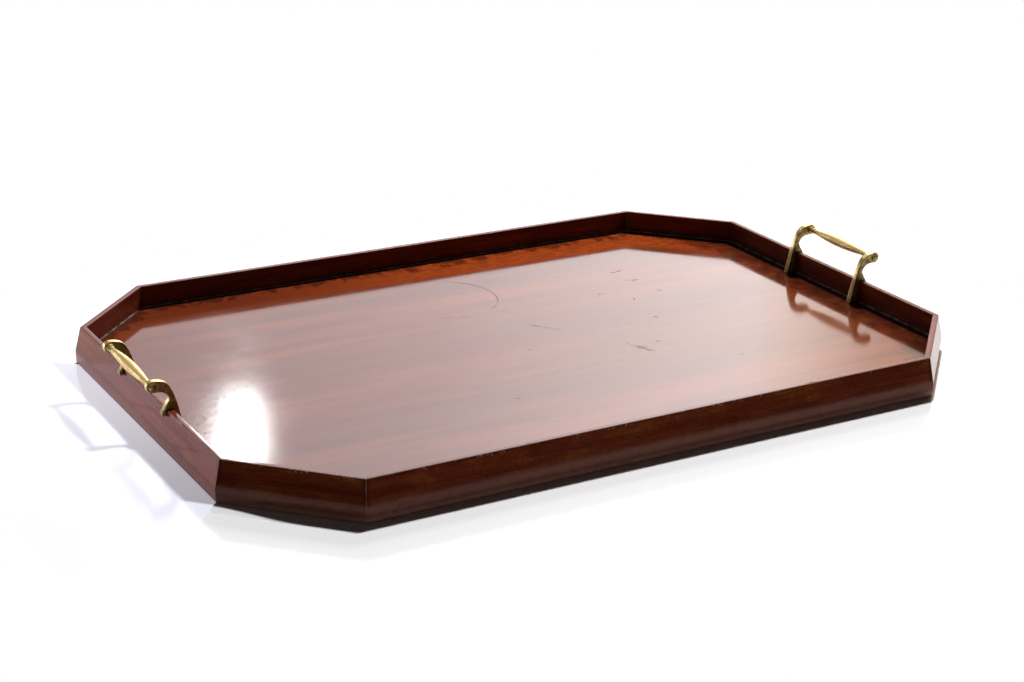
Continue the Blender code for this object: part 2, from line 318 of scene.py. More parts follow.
# The gallery's sizes, as the solids have them but for the foot's edge, which is sharper
gallery = {
    "length": 0.635,
    "width": 0.432,
    "cantSetback": 0.0735,
    "height": 0.0305,
    "topWidth": 0.0046,
    "arris": 0.0007,
    "flare": radians(12.5),
    "bellyRise": 0.0122,
    "bellyRadius": 0.014,
    "tuck": radians(2),
    "footRadius": 0.0009,
    "boardTop": 0.0118,
    "tongueThickness": 0.005,
    "tongueLength": 0.0035,
    "fitGap": 0.0003,
}
halfLength = gallery["length"] / 2
halfWidth = gallery["width"] / 2
cornerTurn = pi / 4
mitreAngle = cornerTurn / 2
cantDistance = (halfLength + halfWidth - gallery["cantSetback"]) * cos(cornerTurn)
cantLength = gallery["cantSetback"] / sin(cornerTurn)
endLength = gallery["width"] - 2 * gallery["cantSetback"]
sideLength = gallery["length"] - 2 * gallery["cantSetback"]

# Board

boardLook = {
    "darkWood": (0.200, 0.030, 0.010, 1),
    "lightWood": (0.380, 0.082, 0.024, 1),
    "shadowWood": (0.120, 0.026, 0.012, 1),
    "edgeWood": (0.56, 0.088, 0.014, 1),
    "poreColour": (0.050, 0.010, 0.005, 1),
    "grimeAndShadeColour": (0.020, 0.010, 0.006, 1),
    "stainColour": (0.060, 0.018, 0.008, 1),
    "grain": {"Figure Size": 0.024, "Fibre Size": 0.0013, "Stretch": 11.0},
    "scratches": {"Length": 0.02, "Breadth": 0.00045, "Amount": 0.35},
    "specks": {"Spacing": 0.034, "Radius": 0.0009, "Share": 0.3},
    "grainDepth": 0.000006,
    "polish": 0.072,
    "haze": 0.035,
    "underside": 0.55,
    # where the brighter border begins and where it is full: in from the edge, from y and from x
    "borderInset": (0.055, 0.038),
    "borderAcross": (0.09, 0.17),
    "borderAlong": (-0.16, 0.08),
    "borderShare": 0.85,
    "grimeAndShadeBreadth": 0.0013,
    # dark streaks beside the rails, old polish and painted shade of the rails: where they end and are
    # full, and how much they wander
    "streakBreadths": (0.014, 0.007),
    "streakWander": 0.009,
    # at the right end they reach further in and are darker, as painted shade beside the right rail
    "rightEnd": (0.25, 0.285),
    "streakAtRight": 0.030,
    "streakShares": (0.65, 0.95),
    # centre, radius, breadth and strength; only the side that ringSide points to still shows well
    "rings": (
        ((-0.0053, 0.117, 0), 0.0457, 0.0018, 1.0),
        ((-0.232, 0.010, 0), 0.043, 0.0012, 0.3),
    ),
    "ringSide": (0.8, -0.6, 0),
    # centre, half length, half breadth and angle in degrees
    "smudges": (
        ((0.037, 0.020, 0), 0.016, 0.0016, 52),
        ((0.083, -0.055, 0), 0.012, 0.0036, 70),
        ((0.170, 0.114, 0), 0.009, 0.0014, -12),
        ((0.168, 0.088, 0), 0.008, 0.0022, 20),
        ((0.123, 0.069, 0), 0.005, 0.0013, 0),
        ((0.1745, 0.0553, 0), 0.003, 0.0012, 30),
        ((0.142, 0.0455, 0), 0.004, 0.0012, -30),
        ((0.1336, -0.0006, 0), 0.0022, 0.0016, 0),
        ((0.103, -0.0486, 0), 0.0022, 0.0016, 0),
        ((0.147, -0.1035, 0), 0.0022, 0.0018, 0),
        ((-0.060, -0.1015, 0), 0.0022, 0.0018, 0),
        ((0.0, -0.0195, 0), 0.0020, 0.0015, 0),
        ((-0.233, 0.012, 0), 0.012, 0.0014, -20),
    ),
    "markShare": 0.5,
    "markDullness": 0.35,
    "frostedPlace": (-0.262, -0.060, 0.0118),
    "frosting": 3.5,
    "rubbedPlace": ((-0.282, -0.030, 0), 0.016, 0.050, 35),
    "rubbedShare": 0.6,
    "rubbedDullness": 0.3,
}


def boardWood(place, inset, grain, look):
    x, y, _ = split(place)
    broad = noiseAt(stretched(place, 0.12), 14.0, 2.0)
    tone = plus(times(grain["Figure"], 0.4), times(grain["Fibre"], 0.12))
    tone = plus(tone, remap(broad, 0.3, 0.7, 0.0, 0.45))
    bands = noiseAt(stretched(place, 0.08), 36.0, 3.0, 0.3)
    # a brighter orange border towards the back and the right, under dark streaks
    border = times(
        remap(inset, *look["borderInset"], 0.0, look["borderShare"]),
        remap(y, *look["borderAcross"]),
        remap(x, *look["borderAlong"], 0.1, 1.0),
    )
    darker = remap(noiseAt(stretched(place, 0.35), 260.0, 4.0, 0.8), 0.44, 0.6)
    return painted(
        blend(tone, look["darkWood"], look["lightWood"]), look,
        (remap(bands, 0.4, 0.62, 0.0, 0.42), "shadowWood"),
        (times(grain["Pores"], 0.3), "poreColour"),
        (border, "edgeWood"),
        (times(border, darker, 0.5), "shadowWood"),
    )


def boardStreaks(place, inset, look):
    # dark streaks beside the rails: old polish and painted shade, stronger at the right end
    rightEnd = remap(split(place)[0], *look["rightEnd"])
    streak = noiseAt(stretched(place, 0.7, 0.5), 110.0, 4.0, 1.0)
    wandering = plus(inset, remap(streak, 0.3, 0.7, -look["streakWander"], look["streakWander"]))
    far, near = (gallery["topWidth"] + breadth for breadth in look["streakBreadths"])
    far = plus(times(rightEnd, look["streakAtRight"]), far)
    shown = remap(wandering, far, near, curve="LINEAR")
    return times(shown, remap(rightEnd, 0.0, 1.0, *look["streakShares"]))


def boardMarks(place, look):
    marks = placed(specks, place, **look["specks"])["Mask"]
    for centre, radius, breadth, strength in look["rings"]:
        ring = placed(ringStain, place, Centre=centre, Radius=radius, Breadth=breadth)
        offset = vectorCalc("SUBTRACT", place, centre)
        side = vectorCalc("DOT_PRODUCT", offset, look["ringSide"], "Value")
        shown = remap(side, -14 * mm, 10 * mm, 0.1 * strength, strength)
        marks = most(marks, times(ring["Mask"], shown))
    for mark in look["smudges"]:
        marks = most(marks, smudgeAt(place, *mark))
    return marks


def makeBoardFinish(look):
    material, shader, place = newMaterial("boardMahogany")
    x, _, z = split(place)
    inset = insetAt(place)
    grain = placed(woodGrain, place, **look["grain"])
    # darker where the board meets the rails: grime and painted shade in the corner
    wandering = plus(inset, remap(noiseAt(place, 60.0, 3.0), 0.3, 0.7, -1.2 * mm, 1.5 * mm))
    grimeAndShade = remap(wandering, gallery["topWidth"] + look["grimeAndShadeBreadth"], gallery["topWidth"])
    marks = boardMarks(place, look)
    flecks = remap(noiseAt(stretched(place, 0.6), 800.0, 3.0), 0.52, 0.56)
    rubbed = times(smudgeAt(place, *look["rubbedPlace"]), flecks)
    colour = painted(
        boardWood(place, inset, grain, look), look,
        (times(grimeAndShade, 0.6), "grimeAndShadeColour"),
        # the dark streaks beside the rails, old polish and painted shade
        (boardStreaks(place, inset, look), "poreColour"),
        (times(marks, look["markShare"]), "stainColour"),
        (times(rubbed, look["rubbedShare"]), "stainColour"),
    )
    lines = placed(hairScratches, place, **look["scratches"])["Mask"]
    haze = remap(noiseAt(place, 22.0, 4.0), 0.35, 0.7, 0.0, look["haze"])
    # marks stay glossy near the window's glare, where a dull spot would light up
    markDullness = remap(x, -0.19, -0.12, 0.0, look["markDullness"])
    dull = plus(times(lines, 0.03), times(marks, markDullness))
    dull = plus(dull, times(rubbed, look["rubbedDullness"]), haze, times(grimeAndShade, 0.25))
    underside = remap(z, gallery["boardTop"] - 0.3 * mm, gallery["boardTop"] - 0.6 * mm)
    roughness = plus(dull, look["polish"], times(underside, look["underside"]))
    fromGlare = vectorCalc("DISTANCE", place, look["frostedPlace"], "Value")
    frosted = remap(fromGlare, 0.10, 0.03, 0.0, look["frosting"])
    frosted = times(frosted, noiseAt(place, 1300.0, 3.0))
    relief = plus(minus(times(grain["Fibre"], 0.2), times(grain["Pores"], 0.08)), frosted)
    feed(shader, colour=colour, roughness=roughness, normal=bump(relief, look["grainDepth"]))
    return material


boardFinish = makeBoardFinish(boardLook)
print("board finish made")

# Rails

railLook = {
    "darkWood": (0.075, 0.009, 0.003, 1),
    "lightWood": (0.200, 0.042, 0.012, 1),
    "amberWood": (0.34, 0.10, 0.022, 1),
    "redWood": (0.42, 0.075, 0.045, 1),
    "deepRedWood": (0.27, 0.045, 0.028, 1),
    "wornColour": (0.30, 0.15, 0.10, 1),
    "nickColour": (0.75, 0.48, 0.30, 1),
    "grimeAndShadeColour": (0.016, 0.010, 0.007, 1),
    "bleachedReflectionColour": (0.24, 0.098, 0.068, 1),
    "footDustLightColour": (0.85, 0.45, 0.34, 1),
    "seamColour": (0.32, 0.17, 0.09, 1),
    "grain": {"Figure Size": 0.009, "Fibre Size": 0.0009, "Stretch": 16.0},
    "scratches": {"Length": 0.012, "Breadth": 0.0004, "Amount": 0.3},
    "knocks": {"Spacing": 0.022, "Radius": 0.0007, "Share": 0.25},
    "grainDepth": 0.000002,
    "polish": 0.065,
    "planeMarks": 14.0,        # their depth on the belly, in depths of the grain
    "step": 0.0016,            # between the rings of points along a rail
    "arcSteps": 7,
    "wander": 0.00001,         # of the hand-planed faces
    "arrisWear": 0.00004,
    "chipDepth": 0.0012,
    "chipShown": 0.00006,      # depth from which a chip shows bare wood
    "seam": 0.00003,           # half of the mitre's glue line
    "seamReach": 0.004,        # how far beside the mitre its grime can reach
}

# The wood's share of red, how much the lower part and foot are bleached and lightened as a painted
# reflection of the table, the gloss and the top's polish
Rail = namedtuple("Rail", "name distance length redness bleaching gloss topPolish")
rails = (
    Rail("right_rail", halfLength, endLength, 0.1, 0.5, 0.27, 0.0),
    Rail("back_right_corner_rail", cantDistance, cantLength, 0.1, 0.4, 0.27, 0.0),
    Rail("back_rail", halfWidth, sideLength, 0.0, 0.4, 0.27, 0.0),
    Rail("back_left_corner_rail", cantDistance, cantLength, 0.3, 0.4, 0.27, 0.0),
    Rail("left_rail", halfLength, endLength, 0.4, 0.0, 0.2, 0.2),
    Rail("front_left_corner_rail", cantDistance, cantLength, 0.0, 0.55, 0.12, 0.6),
    Rail("front_rail", halfWidth, sideLength, 0.1, 0.75, 0.10, 0.65),
    Rail("front_right_corner_rail", cantDistance, cantLength, 0.4, 0.5, 0.27, 0.0),
)


def mixed(share, first, second):
    return [a + (b - a) * share for a, b in zip(first, second)]


def railWood(local, grain, redness, look):
    shade = plus(times(grain["Figure"], 0.6), times(grain["Fibre"], 0.4))
    dark = mixed(redness, look["darkWood"], look["deepRedWood"])
    light = mixed(redness, look["lightWood"], look["redWood"])
    amber = remap(noiseAt(stretched(local, 0.35), 75.0, 3.0), 0.5, 0.66, 0.0, 0.8 - 0.8 * redness)
    colour = blend(shade, dark, blend(amber, light, look["amberWood"]))
    return painted(colour, look, (times(grain["Pores"], 0.5), "darkWood"))


def makeRailFinish(rail, turn, seed, look):
    # turned so that the rail's length runs along the grain
    material, shader, place = newMaterial(rail.name + "_mahogany")
    local = rotated(place, -turn - pi / 2)
    along, _, height = split(local)
    inset = insetAt(place)
    grain = placed(woodGrain, local, Seed=seed, **look["grain"])
    cloud = noiseAt(local, 160.0, 4.0)
    # wear on the two top arrises and the foot's edge
    top = gallery["height"]
    topWidth = gallery["topWidth"]
    rise = remap(height, top - 0.9 * mm, top - 0.25 * mm)
    outer = remap(inset, 1.1 * mm, 0.4 * mm)
    inner = remap(inset, topWidth - 0.9 * mm, topWidth - 0.3 * mm)
    foot = remap(height, 1.2 * mm, 0.2 * mm)
    worn = times(most(times(rise, most(outer, inner)), foot), remap(cloud, 0.56, 0.66))
    worn = most(times(worn, 0.6), attribute(place.id_data, "chips"))
    rubbed = times(rise, remap(inset, 0.8 * mm, 1.6 * mm), 0.3)
    nicks = times(
        remap(noiseAt(local, 950.0, 2.0), 0.58, 0.64), remap(noiseAt(local, 60.0), 0.55, 0.63),
        outer, remap(height, top - 2.5 * mm, top - 0.9 * mm),
    )
    mottle = remap(noiseAt(local, 320.0, 4.0, 1.0), 0.3, 0.7, 0.0, 0.45)
    # the mitre's glue line
    toMitre = attribute(place.id_data, "toMitre")
    seam = times(remap(toMitre, 0.13, 0.04), 0.8, remap(cloud, 0.3, 0.6))
    # the lower part is bleached and lighter, partly a painted reflection of the pale table; near the
    # foot, dust and painted light make it lighter still
    wandering = plus(height, remap(cloud, 0.3, 0.7, -0.7 * mm, 0.7 * mm))
    bleachedAndReflected = remap(cloud, 0.3, 0.6, 0.7 * rail.bleaching, rail.bleaching)
    bleachedAndReflected = times(remap(wandering, 15 * mm, 10 * mm), bleachedAndReflected)
    footDustAndLight = remap(height, 5.5 * mm, 0.5 * mm, 0.0, 0.9 * rail.bleaching)
    # grime and painted shade in the corner above the board
    corner = remap(height, gallery["boardTop"] + 1.4 * mm, gallery["boardTop"] + 0.3 * mm)
    grimeAndShade = times(corner, moreThan(inset, topWidth - 0.2 * mm), remap(cloud, 0.3, 0.55))
    knocks = placed(specks, local, **look["knocks"])["Mask"]
    colour = painted(
        railWood(local, grain, rail.redness, look), look,
        (times(rise, outer, 0.6), "darkWood"),
        (worn, "wornColour"),
        (rubbed, "redWood"),
        (nicks, "nickColour"),
        (times(mottle, 1 - rail.redness), "darkWood"),
        (times(remap(toMitre, 0.9, 0.1), 0.5), "grimeAndShadeColour"),
        (seam, "seamColour"),
        (bleachedAndReflected, "bleachedReflectionColour"),
        (footDustAndLight, "footDustLightColour"),
        (times(grimeAndShade, 0.55), "grimeAndShadeColour"),
        (times(knocks, 0.6), "wornColour"),
    )
    lines = placed(hairScratches, join(along, height, 0.0), **look["scratches"])["Mask"]
    haze = remap(noiseAt(local, 55.0, 4.0), 0.35, 0.7, 0.0, 0.03)
    roughness = plus(haze, look["polish"], times(lines, 0.15), times(most(worn, grimeAndShade), 0.3))
    roughness = plus(roughness, times(rise, most(times(outer, 0.4), 0.6 * rail.bleaching)))
    relief = minus(times(grain["Fibre"], 0.5), times(grain["Pores"], 0.2))
    relief = minus(relief, times(most(worn, knocks), 2.0))
    # plane marks along the belly break up what it mirrors
    planed = noiseAt(stretched(local, 0.1), 240.0, 3.0, 0.6)
    belly = remap(height, 16 * mm, 12 * mm, 0.0, look["planeMarks"])
    normal = bump(plus(relief, times(planed, belly)), look["grainDepth"])
    feed(shader, colour=colour, roughness=roughness, normal=normal, gloss=rail.gloss)
    if rail.topPolish:
        feed(shader, coat=times(rise, remap(inset, 0.6 * mm, 1.2 * mm, 0.0, rail.topPolish)))
    return material


def arc(centreX, centreY, radius, startAngle, endAngle, steps):
    angles = [startAngle + (endAngle - startAngle) * step / steps for step in range(steps + 1)]
    return [(centreX + radius * cos(angle), centreY + radius * sin(angle)) for angle in angles]


def between(start, end, shares):
    return [mixed(share, start, end) for share in shares]


def railSection(g, steps):
    # outward is +x and the rail's top outer edge is at x = 0
    flare, tuck, arris, inner = g["flare"], g["tuck"], g["arris"], -g["topWidth"]
    arrisX = arris * (tan(flare) * (1 - sin(flare)) - cos(flare))
    bellyX = (g["height"] - g["bellyRise"]) * tan(flare) - g["bellyRadius"] * cos(flare)
    bellyZ = g["bellyRise"] - g["bellyRadius"] * sin(flare)
    tuckX = bellyX + g["bellyRadius"] * cos(tuck)
    tuckZ = bellyZ - g["bellyRadius"] * sin(tuck)
    footRise = g["footRadius"] * (1 - sin(tuck))
    footX = tuckX - (tuckZ - footRise) * tan(tuck) - g["footRadius"] * cos(tuck)
    grooveFloor = g["tongueLength"] + g["fitGap"] + inner
    grooveFoot = g["boardTop"] - g["tongueThickness"] - g["fitGap"]
    grooveTop = g["boardTop"] + g["fitGap"]
    topZ = g["height"] - arris
    belly = arc(bellyX, bellyZ, g["bellyRadius"], -tuck, flare, steps)
    outerArris = arc(arrisX, topZ, arris, flare, pi / 2, steps)
    innerArris = arc(inner + arris, topZ, arris, pi / 2, pi, steps)
    return [
        (inner, 0),
        *arc(footX, g["footRadius"], g["footRadius"], -pi / 2, -tuck, steps),
        *belly,
        *between(belly[-1], outerArris[0], (0.3, 0.6, 0.8, 0.92, 0.97)),
        *outerArris,
        *innerArris,
        *between(innerArris[-1], (inner, grooveTop), (0.03, 0.08, 0.2, 0.5)),
        (inner, grooveTop),
        (grooveFloor, grooveTop),
        (grooveFloor, grooveFoot),
        (inner, grooveFoot),
    ]


def trayCorner(side, inset):
    # corner between a side and the next, on the tray's outline drawn in by inset
    distance = rails[side].distance - inset
    nextDistance = rails[(side + 1) % len(rails)].distance - inset
    along = (nextDistance - distance * cos(cornerTurn)) / sin(cornerTurn)
    angle = side * cornerTurn
    return Vector((
        distance * cos(angle) - along * sin(angle),
        distance * sin(angle) + along * cos(angle),
    ))


def tidied(mesh, weld=0):
    shape = bmesh.new()
    shape.from_mesh(mesh)
    if weld:
        bmesh.ops.remove_doubles(shape, verts=shape.verts, dist=weld)
    bmesh.ops.recalc_face_normals(shape, faces=shape.faces)
    shape.to_mesh(mesh)
    shape.free()


def smoothed(mesh, sharpDegrees):
    mesh.shade_smooth()
    mesh.set_sharp_from_angle(angle=radians(sharpDegrees))
    return mesh


def meshOf(name, points, faces, sharpDegrees=35):
    mesh = bpy.data.meshes.new(name)
    mesh.from_pydata(points, [], faces)
    tidied(mesh)
    return smoothed(mesh, sharpDegrees)


def sweptFaces(count, rings, closed=False):
    # between rings of count points each
    faces = []
    for ring in range(rings):
        after = (ring + 1) % rings if closed else ring + 1
        for i in range(count):
            j = (i + 1) % count
            faces.append((ring * count + i, ring * count + j, after * count + j, after * count + i))
    return faces


def paint(mesh, material):
    mesh.materials.clear()
    mesh.materials.append(material)


def showPiece(name, mesh, material, body, replaced=()):
    piece = addObject(name, mesh)
    paint(mesh, material)
    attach(piece, body)
    if replaced:
        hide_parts(*replaced)


def noiseFrom(x, y, z, size):
    return noise.noise(Vector((x, y, z)) / size)


def railPoints(side, look):
    # points ring by ring along the rail, with how chipped and how far from the mitre each is
    section = railSection(gallery, look["arcSteps"])
    length = rails[side].length
    rings = max(2, round(length / look["step"]))
    middle = (trayCorner(side - 1, 0) + trayCorner(side, 0)) / 2
    turn = side * cornerTurn
    arris = gallery["arris"]
    points, chips, mitres = [], [], []
    for ring in range(rings + 1):
        share = 2 * ring / rings - 1
        for x, z in section:
            half = length / 2 - look["seam"] + x * tan(mitreAngle)
            along = share * half
            top = max(0.0, 1 - (gallery["height"] - z) / arris)
            edge = top * max(0.0, 1 - abs(x + arris * 0.3) / arris)
            toMitre = min(1.0, (half - abs(along)) / look["seamReach"])
            push = look["wander"] * noiseFrom(along, x, z + side, 0.02)
            wear = look["arrisWear"] * max(0.0, noiseFrom(along, side * 3.1, 0.2, 0.006) + 0.1)
            chip = look["chipDepth"] * max(0.0, noiseFrom(along, side * 7.7, 5.5, 0.0045) - 0.5)
            chips.append(min(1.0, chip / look["chipShown"]) * top * edge)
            mitres.append(toMitre)
            x -= (push + edge * (wear + chip)) * toMitre
            z -= edge * (wear + chip) * toMitre
            points.append((
                middle.x + x * cos(turn) - along * sin(turn),
                middle.y + x * sin(turn) + along * cos(turn),
                max(0.0, z),
            ))
    return points, chips, mitres, len(section), rings


def makeRail(side, look):
    rail = rails[side]
    points, chips, mitres, count, rings = railPoints(side, look)
    faces = sweptFaces(count, rings)
    faces.append(tuple(range(count)))
    faces.append(tuple(rings * count + i for i in reversed(range(count))))
    finish = makeRailFinish(rail, side * cornerTurn, 3.7 * side, look)
    mesh = meshOf(rail.name, points, faces)
    for label, values in {"chips": chips, "toMitre": mitres}.items():
        mesh.attributes.new(label, "FLOAT", "POINT").data.foreach_set("value", values)
    showPiece(rail.name + "_moulding", mesh, finish, "tray", (rail.name,))


for side in range(len(rails)):
    makeRail(side, railLook)
print("rails made")

# Old wax and dust in the corner between board and rails, whose pale patches are also a painted
# highlight

waxLook = {
    "breadth": 0.0009,
    "section": ((0, 1), (0.35, 0.42), (1, 0), (0, 0)),     # outward and up, in breadths
    "step": 0.004,
    "swelling": 0.35,
    "paleWaxAndSheen": (0.27, 0.23, 0.21, 1),
    "dark": (0.018, 0.010, 0.007, 1),
}


def makeWaxAndSheenFinish(look):
    material, shader, place = newMaterial("oldWaxAndSheen")
    # pale patches: wax, and a painted highlight of the light line in the corner
    patches = remap(noiseAt(place, 90.0, 4.0), 0.42, 0.62)
    colour = blend(patches, look["dark"], look["paleWaxAndSheen"])
    normal = bump(noiseAt(place, 900.0), 0.03 * mm)
    feed(shader, colour=colour, roughness=0.6, normal=normal, gloss=0.25)
    return material


def makeWaxLine(look):
    inner = gallery["topWidth"] - 0.1 * mm
    floor = gallery["boardTop"] - 0.05 * mm
    breadth = look["breadth"]
    points = []
    for side in range(len(rails)):
        steps = round(rails[side].length / look["step"])
        for step in range(steps):
            for outward, up in look["section"]:
                inset = inner + outward * breadth
                spot = trayCorner(side - 1, inset).lerp(trayCorner(side, inset), step / steps)
                swell = 1 + look["swelling"] * noiseFrom(spot.x, spot.y, up, 0.012)
                points.append((spot.x, spot.y, floor + up * breadth * swell))
    count = len(look["section"])
    mesh = meshOf("wax_line", points, sweptFaces(count, len(points) // count, closed=True), 60)
    showPiece("wax_line", mesh, makeWaxAndSheenFinish(look), "tray")


makeWaxLine(waxLook)
print("wax line made")

# Swan-neck brackets

bracket = {
    "thickness": 0.0048,
    "edge": 0.0006,
    "spacing": 0.088,
    "footGap": 0.0001,
    "eyeReach": 0.0102,
    "eyeRise": 0.019,
    "eyeRadius": 0.0045,
    "boreRadius": 0.0021,
    "backDepth": 0.009,
    "footDepth": 0.0087,
    "waistInset": 0.0017,
    "waistRise": 0.008,
    "tabReach": 0.0041,
    "tabDrop": 0.0049,
    "tabToe": 0.002,
    # knots of the outline's curves, as shares of their two sides and with the heading in degrees
    "backShares": ((0.405, 0.84, 228), (0.16, 0.45, 249)),
    "hollowShares": ((0.53, 0.97, 10), (0.17, 0.6, 44)),
    "tabShares": ((0.255, 0.33, 118), (0.7, 0.72, 116)),
    "toeShare": 0.25,
    "backHeading": 257,
    "toeHeading": 100,
    "outlineSteps": 14,
    "edgeSteps": 4,
    "boreSteps": 40,
}


def direction(degrees):
    return Vector((cos(radians(degrees)), sin(radians(degrees))))


def smoothLoop(knots, steps):
    # knots are (x, y, heading in degrees), with no heading at a corner
    points = []
    for (x, y, heading), (nextX, nextY, nextHeading) in zip(knots, knots[1:] + knots[:1]):
        start, end = Vector((x, y)), Vector((nextX, nextY))
        if heading is None and nextHeading is None:
            points.append(start)
            continue
        chord = end - start
        leaving = chord.normalized() if heading is None else direction(heading)
        arriving = chord.normalized() if nextHeading is None else direction(nextHeading)
        turn = leaving.angle(arriving)
        reach = chord.length / 3
        if turn > radians(0.5):
            reach = chord.length * 2 / 3 * tan(turn / 4) / sin(turn / 2)
        handles = (start + reach * leaving, end - reach * arriving)
        points += interpolate_bezier(start, *handles, end, steps + 1)[:-1]
    return [(point.x, point.y) for point in points]


def knotsBetween(start, end, shares):
    (x, y), (endX, endY) = start, end
    return [(x + s * (endX - x), y + t * (endY - y), heading) for s, t, heading in shares]


def bracketOutline(b):
    gap = gallery["fitGap"]
    slope = tan(gallery["flare"])
    seatX = -gallery["topWidth"] - gap
    footLevel = gallery["boardTop"] + b["footGap"] - gallery["height"]
    faceX = gap / cos(gallery["flare"])
    toeZ = b["tabToe"] * b["toeShare"] - b["tabDrop"]
    toeX = faceX - toeZ * slope
    eyeTop = (b["eyeReach"], b["eyeRise"] + b["eyeRadius"])
    eyeFoot = (b["eyeReach"], b["eyeRise"] - b["eyeRadius"])
    waist = (-b["waistInset"], b["waistRise"])
    tabEdge = (b["tabReach"], b["tabToe"] - b["tabDrop"])
    return smoothLoop([
        (*eyeTop, 180),
        *knotsBetween((-b["backDepth"], 0), eyeTop, b["backShares"]),
        (-b["backDepth"], 0, b["backHeading"]),
        (seatX - b["footDepth"], footLevel, None),
        (seatX, footLevel, None),
        (seatX, gap, None),
        (faceX - gap * slope, gap, None),
        (toeX, toeZ, None),
        ((toeX + b["tabReach"]) / 2, -b["tabDrop"], 0),
        (*tabEdge, b["toeHeading"]),
        *reversed(knotsBetween(waist, tabEdge, b["tabShares"])),
        (*waist, 90),
        *reversed(knotsBetween(waist, eyeFoot, b["hollowShares"])),
        (*eyeFoot, 0),
        (b["eyeReach"] + b["eyeRadius"], b["eyeRise"], 90),
    ], b["outlineSteps"])


def makeBracketMesh(b):
    curve = bpy.data.curves.new("bracket", "CURVE")
    curve.dimensions = "2D"
    curve.fill_mode = "BOTH"
    curve.extrude = b["thickness"] / 2 - b["edge"]
    curve.bevel_depth = b["edge"]
    curve.bevel_resolution = b["edgeSteps"]
    curve.offset = -b["edge"]
    bore = arc(b["eyeReach"], b["eyeRise"], b["boreRadius"], 0, 2 * pi, b["boreSteps"])[:-1]
    for loop in (bracketOutline(b), bore):
        spline = curve.splines.new("POLY")
        spline.points.add(len(loop) - 1)
        spline.use_cyclic_u = True
        for point, (x, y) in zip(spline.points, loop):
            point.co = (x, y, 0, 1)
    plate = addObject("bracket", curve)
    evaluated = plate.evaluated_get(bpy.context.evaluated_depsgraph_get())
    mesh = bpy.data.meshes.new_from_object(evaluated)
    bpy.data.objects.remove(plate)
    tidied(mesh, weld=0.02 * mm)
    mesh.transform(upright)
    return smoothed(mesh, 32)


# Turned grips

grip = {
    "middleRadius": 0.0042,
    "endRadius": 0.002,
    "collarRadius": 0.0032,
    "collarLength": 0.0016,
    "neckRadius": 0.0017,
    "neckLength": 0.0009,
    "beadRadius": 0.0026,
    "beadLength": 0.0022,
    "spigotRadius": 0.0018,
    "headRadius": 0.0029,
    "headHeight": 0.0012,
    "headGap": 0.0001,
    "turnSteps": 56,
    "swellSteps": 44,
    "beadSteps": 12,
}


def swelling(top, length, edgeRadius, middleRadius, steps):
    # radius and height down a swelling stretch that starts at top
    rise = middleRadius - edgeRadius
    shares = [step / steps for step in range(steps + 1)]
    return [(edgeRadius + rise * sin(pi * share), top - length * share) for share in shares]


def gripProfile(g):
    collarTop = (bracket["spacing"] - bracket["thickness"]) / 2 - gallery["fitGap"]
    outerFace = (bracket["spacing"] + bracket["thickness"]) / 2 + g["headGap"]
    neckTop = collarTop - g["collarLength"]
    beadTop = neckTop - g["neckLength"]
    spindleTop = beadTop - g["beadLength"] - g["neckLength"]
    steps = g["beadSteps"]
    quarter = [pi / 2 * step / steps for step in range(steps)]
    collarEdge = (g["collarRadius"] + g["spigotRadius"]) / 2
    upper = [
        *[(g["headRadius"] * sin(a), outerFace + g["headHeight"] * cos(a)) for a in quarter],
        (g["headRadius"], outerFace),
        (g["spigotRadius"], outerFace),
        (g["spigotRadius"], collarTop),
        *swelling(collarTop, g["collarLength"], collarEdge, g["collarRadius"], steps),
        (g["neckRadius"], neckTop),
        *swelling(beadTop, g["beadLength"], g["neckRadius"], g["beadRadius"], steps),
    ]
    spindle = swelling(spindleTop, 2 * spindleTop, g["endRadius"], g["middleRadius"], g["swellSteps"])
    return upper + spindle + [(radius, -height) for radius, height in reversed(upper)]


def turnedMesh(name, profile, steps):
    # the profile starts and ends on the axis; the axis is Y
    points = [(0, profile[0][1], 0), (0, profile[-1][1], 0)]
    inner = profile[1:-1]
    for radius, height in inner:
        for step in range(steps):
            angle = 2 * pi * step / steps
            points.append((radius * cos(angle), height, radius * sin(angle)))
    faces = []
    last = 2 + (len(inner) - 1) * steps
    for step in range(steps):
        after = (step + 1) % steps
        faces.append((0, 2 + step, 2 + after))
        faces.append((1, last + after, last + step))
        for ring in range(len(inner) - 1):
            a = 2 + ring * steps
            faces.append((a + step, a + after, a + steps + after, a + steps + step))
    return meshOf(name, points, faces, 38)


# Brass finishes

brassLook = {
    "bright": (0.83, 0.62, 0.29, 1),
    "dull": (0.50, 0.36, 0.13, 1),
    "patina": (0.25, 0.195, 0.045, 1),
    "dirtAndShade": (0.035, 0.027, 0.012, 1),
    "castRoughness": 0.30,
    "castDepth": 0.00005,
    "turnedRoughness": 0.43,
    "turnedDepth": 0.00002,
    "freckles": {"Spacing": 0.004, "Radius": 0.0005, "Share": 0.25},
    "groove": (0.0365, 0.0385),         # from the middle of a grip, where its ends begin to darken
    "shadeUnderGrip": (0.0008, 0.0026),      # below its axis, where the painted shade begins and is full
}


